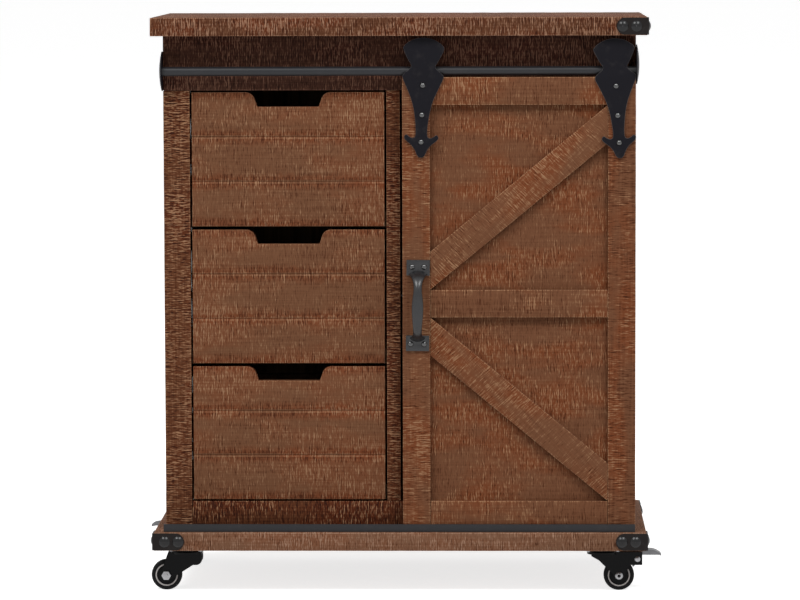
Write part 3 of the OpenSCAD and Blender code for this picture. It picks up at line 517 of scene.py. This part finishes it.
def sawn_board(node, along, wood, worn, body):
    """A board in the place of a node, with rounded edges that wander a little and take the
    second material; on most boards that is lighter, partly wear and partly a painted highlight.
    """
    low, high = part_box(node)
    axis = "XYZ".index(along)
    bm = bmesh.new()
    bmesh.ops.create_cube(bm, size=1)
    for vert in bm.verts:
        for i in range(3):
            vert.co[i] = low[i] + (vert.co[i] + 0.5) * (high[i] - low[i])
    long_edges = [
        edge for edge in bm.edges
        if abs(edge.verts[0].co[axis] - edge.verts[1].co[axis]) > (high - low)[axis] / 2
    ]
    cuts = max(2, round((high - low)[axis] / sizes().arris_step))
    bmesh.ops.subdivide_edges(bm, edges=long_edges, cuts=cuts, use_grid_fill=True)
    bevel_edges(bm, sizes().arris)
    wander(bm, (low + high) / 2)
    return make_piece("sawn_" + node, bm, (wood, worn), body, (node,))


def dressed_copy(node, plain, worn, body, width=None):
    """A node's own outline with rounded edges in the second material, which on the wood, the
    hangers and the handle is lighter: partly wear and partly a painted highlight.
    """
    bm = bmesh.new()
    bm.from_mesh(frame["nodes"][node].data)
    bmesh.ops.remove_doubles(bm, verts=bm.verts, dist=0.01 * MM)
    bmesh.ops.dissolve_limit(
        bm, angle_limit=radians(0.5), use_dissolve_boundaries=False, verts=bm.verts,
        edges=bm.edges)
    for face in bm.faces:
        face.material_index = 0
    bevel_edges(bm, width or sizes().arris)
    return make_piece("dressed_" + node, bm, (plain, worn), body, (node,))


def lathe(profile, centre, direction, steps=64):
    """A mesh turned about an axis. profile holds (place along the axis, radius) pairs."""
    bm = bmesh.new()
    turn = Vector((0, 0, 1)).rotation_difference(direction).to_matrix()
    rings = []
    for place, radius in profile:
        rings.append([
            bm.verts.new(centre + turn @ Vector((
                radius * cos(2 * pi * i / steps), radius * sin(2 * pi * i / steps), place)))
            for i in range(steps)
        ])
    for first, second in zip(rings, rings[1:]):
        for i in range(steps):
            j = (i + 1) % steps
            bm.faces.new((first[i], first[j], second[j], second[i]))
    return bm


def paint_nodes(material, *nodes):
    """Gives CAD nodes a material, with their mesh as it is."""
    for name in nodes:
        node = frame["nodes"][name]
        node.data.materials.clear()
        node.data.materials.append(material)


# Operators

class CABINET_OT_boards(bpy.types.Operator):
    """Saws and stains the top and base boards"""

    bl_idname = "cabinet.boards"
    bl_label = "Top and base boards"

    def execute(self, context):
        for kind, saw in (("top", 1.0), ("base", 0.6)):
            wood = sawn(kind + "_board_wood", kind, "X", saw=saw)
            # The rounded edges get a lighter stain: partly wear, partly a painted highlight.
            worn = sawn(kind + "_board_worn", kind, "X", saw=saw, wear=1.3)
            sawn_board(kind + "_board", "X", wood, worn, "cabinet")
        return {"FINISHED"}


class CABINET_OT_carcass(bpy.types.Operator):
    """Makes the side panels, and the plain boards inside and behind"""

    bl_idname = "cabinet.carcass"
    bl_label = "Carcass"

    def execute(self, context):
        wood = sawn("side_wood", "frame", "Z", saw=0.5, thread=0.4)
        # The rounded edges get a lighter stain: partly wear, partly a painted highlight.
        worn = sawn("side_worn", "frame", "Z", saw=0.5, thread=0.4, wear=0.6)
        for node in ("side_panel_left", "side_panel_right"):
            sawn_board(node, "Z", wood, worn, "cabinet")
        upright = planed("inner_wood_upright", "Z")
        level = planed("inner_wood_level", "X")
        for node in ("partition", "back_panel"):
            sawn_board(node, "Z", upright, upright, "cabinet")
        for node in ("floor_panel", "shelf"):
            sawn_board(node, "X", level, level, "cabinet")
        paint_nodes(planed("inner_wood_deep", "Y"), "drawer_runners")
        paint_nodes(zinc(), "shelf_pins")
        return {"FINISHED"}


class CABINET_OT_face_frame(bpy.types.Operator):
    """Saws and stains the rails and stiles of the face frame"""

    bl_idname = "cabinet.face_frame"
    bl_label = "Face frame"

    def execute(self, context):
        for node, kind, along, wear, saw in (
                ("stile_left", "frame", "Z", 0.0, 1.0),
                ("stile_right", "frame", "Z", 0.0, 1.0),
                ("stile_centre", "frame", "Z", -0.3, 1.0),
                ("bottom_rail", "frame", "X", -0.8, 0.8),
                ("top_rail", "rail", "X", 0.0, 1.0)):
            wood = sawn(node + "_wood", kind, along, wear=wear, saw=saw)
            # The rounded edges get a lighter stain: partly wear, partly a painted highlight.
            worn = sawn(node + "_worn", kind, along, wear=wear + 0.7)
            sawn_board(node, along, wood, worn, "cabinet")
        return {"FINISHED"}


class CABINET_OT_door(bpy.types.Operator):
    """Makes the door's panel, frame and braces"""

    bl_idname = "cabinet.door"
    bl_label = "Sliding door"

    def execute(self, context):
        panel = sawn("door_panel_wood", "door", "X", saw=0.55, thread=0.2, wear=-0.06)
        upright = sawn("door_wood_upright", "door", "Z", saw=0.5)
        level = sawn("door_wood_level", "door", "X", saw=0.5)
        # The rounded edges get a lighter stain: partly wear, partly a painted highlight.
        edge_wear_and_highlight_upright = sawn("door_worn_upright", "door", "Z", saw=0.7, wear=0.7)
        edge_wear_and_highlight_level = sawn("door_worn_level", "door", "X", saw=0.7, wear=1.1)
        sawn_board("door_panel", "Z", panel, edge_wear_and_highlight_upright, "door")
        darker = sawn("door_wood_darker", "door", "Z", saw=0.5, wear=-0.45)
        for node, wood in (("door_stile_left", upright), ("door_stile_right", darker)):
            sawn_board(node, "Z", wood, edge_wear_and_highlight_upright, "door")
        for node in ("door_rail_top", "door_rail_middle", "door_rail_bottom"):
            sawn_board(node, "X", level, edge_wear_and_highlight_level, "door")
        for node, side in (("door_brace_upper", 1), ("door_brace_lower", -1)):
            low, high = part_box(node)
            slope = side * atan2(high.z - low.z, high.x - low.x)
            wood = sawn(node + "_wood", "door", "X", saw=0.42, wear=0.24, turn=slope)
            # The braces' rounded edges get a lighter stain: partly wear, partly a painted
            # highlight.
            worn = sawn(node + "_worn", "door", "X", saw=0.7, wear=0.9, turn=slope)
            dressed_copy(node, wood, worn, "door")
        return {"FINISHED"}


class CABINET_OT_drawers(bpy.types.Operator):
    """Makes the drawer fronts and finishes the drawer boxes"""

    bl_idname = "cabinet.drawers"
    bl_label = "Drawers"

    def execute(self, context):
        inner = planed("inner_wood_deep", "Y")
        for level in ("bottom", "middle", "top"):
            node = f"drawer_{level}_front"
            low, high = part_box(node)
            planks = (low.z, (high.z - low.z) / 3)
            # The planks are redder at their joints, and darker towards them as painted shade.
            wood = sawn(node + "_wood", "drawer", "X", saw=0.6, planks=planks)
            # The rounded edges get a lighter stain: partly wear, partly a painted highlight.
            worn = sawn(node + "_worn", "drawer", "X", saw=0.6, wear=0.5)
            dressed_copy(
                node, wood, worn, "drawer_" + level, width=0.8 * MM)
            paint_nodes(inner, f"drawer_{level}_box")
        return {"FINISHED"}


class CABINET_OT_sliding_rail(bpy.types.Operator):
    """Finishes the rod, its brackets, the hangers and their rollers"""

    bl_idname = "cabinet.sliding_rail"
    bl_label = "Sliding rail"

    def execute(self, context):
        for node in ("hanger_left", "hanger_right"):
            # The hangers' rounded edges are lighter grey: partly wear, partly a painted
            # highlight.
            dressed_copy(node, iron(), rubbed_edge(), "door", width=0.5 * MM)
        paint_nodes(
            iron(), "roller_left", "roller_right", "rail_bracket_left", "rail_bracket_right")
        paint_nodes(rail_iron(), "rail_rod", "door_guide")
        steel = screw_steel()
        dressed_copy("door_screws", steel, steel, "door", width=0.2 * MM)
        paint_nodes(zinc(), "hanger_axles")
        return {"FINISHED"}


class CABINET_OT_handle(bpy.types.Operator):
    """Finishes the door's pull handle"""

    bl_idname = "cabinet.handle"
    bl_label = "Handle"

    def execute(self, context):
        c = colours()
        paint = finish("handle_black", black_paint, c.handle, c.iron_worn, 0.3, gloss=0.5)
        # The handle's rounded edges are lighter grey: partly wear, partly a painted highlight.
        dressed_copy(
            "door_handle", paint, rubbed_edge(), "door", width=0.5 * MM)
        return {"FINISHED"}


class CABINET_OT_guards(bpy.types.Operator):
    """Finishes the corner guards, their nails and the base's screws"""

    bl_idname = "cabinet.guards"
    bl_label = "Corner guards"

    def execute(self, context):
        c = colours()
        paint = finish("guard_black", black_paint, c.guard, c.iron_worn, 0.42, gloss=0.12)
        paint_nodes(paint, "corner_guards")
        black = polished_black()
        dressed_copy(
            "corner_guard_nails", black, black, "cabinet", width=0.2 * MM)
        paint_nodes(zinc(), "base_screws")
        return {"FINISHED"}


class CABINET_OT_casters(bpy.types.Operator):
    """Makes the wheels with their rings, and finishes the forks, bolts and brakes"""

    bl_idname = "cabinet.casters"
    bl_label = "Casters"

    def execute(self, context):
        c = colours()
        gloss = finish("gloss_black_steel", black_paint, c.steel_black, c.iron, 0.32, gloss=0.1)
        rubber = finish("black_rubber", moulded, c.tyre, 0.6, gloss=0.12, dusty=0.02)
        ring = finish("light_ring", moulded, c.ring, 0.45)
        lever = finish("satin_lever", bare_metal, c.lever, 0.42)
        paint_nodes(gloss, "caster_plates")
        for place in ("front_left", "front_right", "rear_left", "rear_right"):
            paint_nodes(gloss, "fork_" + place)
            dressed_copy(
                "bolts_" + place, zinc(), zinc(), "caster_" + place, width=0.4 * MM)
            make_bolt_ends(place, gloss)
            make_wheel(place, rubber, ring)
        paint_nodes(lever, "brake_lever_front_right", "brake_lever_rear_left")
        return {"FINISHED"}


def make_wheel(place, rubber, ring):
    """A wheel with a rounded tread and a light ring on each side."""
    node = "wheel_" + place
    joint = next(j for j in frame["joints"] if j["child"] == node)
    centre = Vector(joint["pos_m"])
    direction = Vector(joint["axis"]).normalized()
    radius = centre.z
    half = 7.5 * MM
    hub = 8.9 * MM
    bore = 3.05 * MM
    side = [
        (0.0, radius), (0.45 * half, radius - 0.05 * MM), (0.72 * half, radius - 0.5 * MM),
        (0.92 * half, radius - 1.6 * MM), (half, radius - 3.2 * MM),
        (half, 0.76 * radius), (0.93 * half, 0.74 * radius), (0.88 * half, 0.73 * radius),
        (0.80 * half, 0.55 * radius), (0.80 * half, 0.36 * radius),
        (0.84 * half, 0.34 * radius), (hub, 0.33 * radius), (hub, bore)
    ]
    profile = [(-along, r) for along, r in reversed(side)] + side[1:]
    bm = lathe(profile + profile[:1], centre, direction)
    bmesh.ops.remove_doubles(bm, verts=bm.verts, dist=0.001 * MM)
    make_piece("turned_" + node, bm, (rubber,), node, (node,))
    for sign in (-1, 1):
        band = [
            (sign * 0.86 * half, 0.640 * radius), (sign * 0.98 * half, 0.642 * radius),
            (sign * 1.02 * half, 0.655 * radius), (sign * 1.02 * half, 0.715 * radius),
            (sign * 0.98 * half, 0.728 * radius), (sign * 0.86 * half, 0.732 * radius),
            (sign * 0.86 * half, 0.640 * radius)
        ]
        bm = lathe(band, centre, direction)
        bmesh.ops.remove_doubles(bm, verts=bm.verts, dist=0.001 * MM)
        name = f"ring_{place}_{'inner' if sign < 0 else 'outer'}"
        make_piece(name, bm, (ring,), node)


def make_bolt_ends(place, socket):
    """The socket in the axle bolt's round head, and the bolt's end past its nut."""
    axle, swivel = (
        next(Vector(joint["pos_m"]) for joint in frame["joints"] if joint["child"] == child)
        for child in ("wheel_" + place, "caster_" + place))
    trail = axle - swivel
    outwards = Vector((trail.y, -trail.x, 0)).normalized()
    rim = [(13.9, 3.1), (14.95, 3.1), (15.2, 2.85), (15.2, 2.2), (15.06, 2.1), (15.06, 0.01)]
    end = [(15.3, 2.7), (16.3, 2.7), (16.7, 2.3), (16.7, 0.01)]
    for name, profile, direction in (("socket", rim, outwards), ("end", end, -outwards)):
        bm = lathe([(along * MM, r * MM) for along, r in profile], axle, direction, 32)
        for face in bm.faces:
            middle = face.calc_center_median() - axle
            across = middle - middle.dot(direction) * direction
            face.material_index = int(name == "socket" and across.length < 2.05 * MM)
        make_piece(f"bolt_{name}_{place}", bm, (zinc(), socket), "caster_" + place)


class CABINET_OT_stage(bpy.types.Operator):
    """Sets up the floor, the lamps, the white surround and the camera"""

    bl_idname = "cabinet.stage"
    bl_label = "Stage"

    def execute(self, context):
        make_floor()
        make_surround()
        for side in (-1, 1):
            make_lamp(f"lamp_{'left' if side < 0 else 'right'}", side)
        make_camera()
        context.scene.view_settings.view_transform = "Standard"
        return {"FINISHED"}


def seen_white(graph):
    """1 for rays from the camera, from gloss and through glass, 0 for the rest."""
    seen = graph.add("ShaderNodeLightPath", output="Is Camera Ray")
    glossy = graph.add("ShaderNodeLightPath", output="Is Glossy Ray")
    through = graph.add("ShaderNodeLightPath", output="Is Transmission Ray")
    return graph.add(
        "ShaderNodeMath", {"operation": "ADD", "use_clamp": True},
        {0: seen + glossy, 1: through})


def make_floor():
    """A wide floor that is white to the eye and keeps the cabinet's shadow."""
    graph = Graph(bpy.data.materials.new("pale_floor"))
    pale = linear(colours().floor)
    cloth = graph.add("ShaderNodeBsdfDiffuse", {}, {"Color": pale, "Roughness": 0.6})
    light = graph.add(
        "ShaderNodeEmission", {}, {"Color": (1, 1, 1, 1), "Strength": 0.75})
    lit = graph.add("ShaderNodeAddShader", {}, {0: cloth, 1: light})
    both = graph.add("ShaderNodeMixShader", {}, {0: seen_white(graph), 1: cloth, 2: lit})
    graph.add("ShaderNodeOutputMaterial", {}, {"Surface": both})
    bm = bmesh.new()
    bmesh.ops.create_grid(bm, x_segments=8, y_segments=8, size=60)
    mesh = bpy.data.meshes.new("floor")
    bm.to_mesh(mesh)
    bm.free()
    mesh.materials.append(graph.owner)
    floor = bpy.data.objects.new("floor", mesh)
    bpy.context.scene.collection.objects.link(floor)


def make_surround():
    """An even sky that the camera sees as white."""
    world = bpy.data.worlds.new("surround")
    bpy.context.scene.world = world
    graph = Graph(world)
    strength = stage().sky + seen_white(graph) * (1 - stage().sky)
    light = graph.add(
        "ShaderNodeBackground", {}, {"Color": (1, 1, 1, 1), "Strength": strength})
    graph.add("ShaderNodeOutputWorld", {}, {"Surface": light})


def make_lamp(name, side):
    """A large soft lamp above and in front of the cabinet."""
    data = bpy.data.lights.new(name, "AREA")
    data.energy = stage().lamp_power
    data.shape = "SQUARE"
    data.size = stage().lamp_size
    lamp = bpy.data.objects.new(name, data)
    bpy.context.scene.collection.objects.link(lamp)
    s = stage()
    lamp.location = (side * s.lamp_side, -s.lamp_front, s.lamp_height)
    aim = Vector((0, 0, s.lamp_aim)) - lamp.location
    lamp.rotation_euler = aim.to_track_quat("-Z", "Y").to_euler()


def make_camera():
    """The camera at the photograph's place and angle."""
    s = stage()
    data = bpy.data.cameras.new("camera")
    data.sensor_fit = "HORIZONTAL"
    data.sensor_width = 36
    data.lens = s.focal
    camera = bpy.data.objects.new("camera", data)
    bpy.context.scene.collection.objects.link(camera)
    boards_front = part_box("base_board")[0].y
    camera.matrix_world = (
        Matrix.Translation((s.camera_side, boards_front - s.distance, s.camera_height))
        @ Matrix.Rotation(s.yaw, 4, "Z")
        @ Matrix.Rotation(pi / 2 - s.pitch, 4, "X")
        @ Matrix.Rotation(s.roll, 4, "Z"))
    bpy.context.scene.camera = camera


class CABINET_PT_sidebar(bpy.types.Panel):
    """Lists the cabinet's pieces, sizes and colours"""

    bl_idname = "CABINET_PT_sidebar"
    bl_label = "Storage cabinet"
    bl_space_type = "VIEW_3D"
    bl_region_type = "UI"
    bl_category = "Cabinet"

    def draw(self, context):
        for operator in OPERATORS:
            self.layout.operator(operator.bl_idname)
        for name in ("cabinet_sizes", "cabinet_stage", "cabinet_colours"):
            group = getattr(context.scene, name)
            box = self.layout.box()
            for key in group.__annotations__:
                box.prop(group, key)


OPERATORS = (
    CABINET_OT_boards, CABINET_OT_carcass, CABINET_OT_face_frame, CABINET_OT_door,
    CABINET_OT_drawers, CABINET_OT_sliding_rail, CABINET_OT_handle, CABINET_OT_guards,
    CABINET_OT_casters, CABINET_OT_stage,
)
GROUPS = {
    "cabinet_colours": CabinetColours,
    "cabinet_sizes": CabinetSizes,
    "cabinet_stage": CabinetStage,
}


def register():
    for kind in (*GROUPS.values(), *OPERATORS, CABINET_PT_sidebar):
        bpy.utils.register_class(kind)
    for name, group in GROUPS.items():
        setattr(bpy.types.Scene, name, PointerProperty(type=group))


def unregister():
    for name in GROUPS:
        delattr(bpy.types.Scene, name)
    for kind in (CABINET_PT_sidebar, *reversed(OPERATORS), *GROUPS.values()):
        bpy.utils.unregister_class(kind)


def main():
    register()
    bpy.ops.cabinet.stage()
    bpy.ops.cabinet.boards()
    bpy.ops.cabinet.carcass()
    bpy.ops.cabinet.face_frame()
    bpy.ops.cabinet.door()
    bpy.ops.cabinet.drawers()
    bpy.ops.cabinet.sliding_rail()
    bpy.ops.cabinet.handle()
    bpy.ops.cabinet.guards()
    bpy.ops.cabinet.casters()


if __name__ == "__main__":
    main()
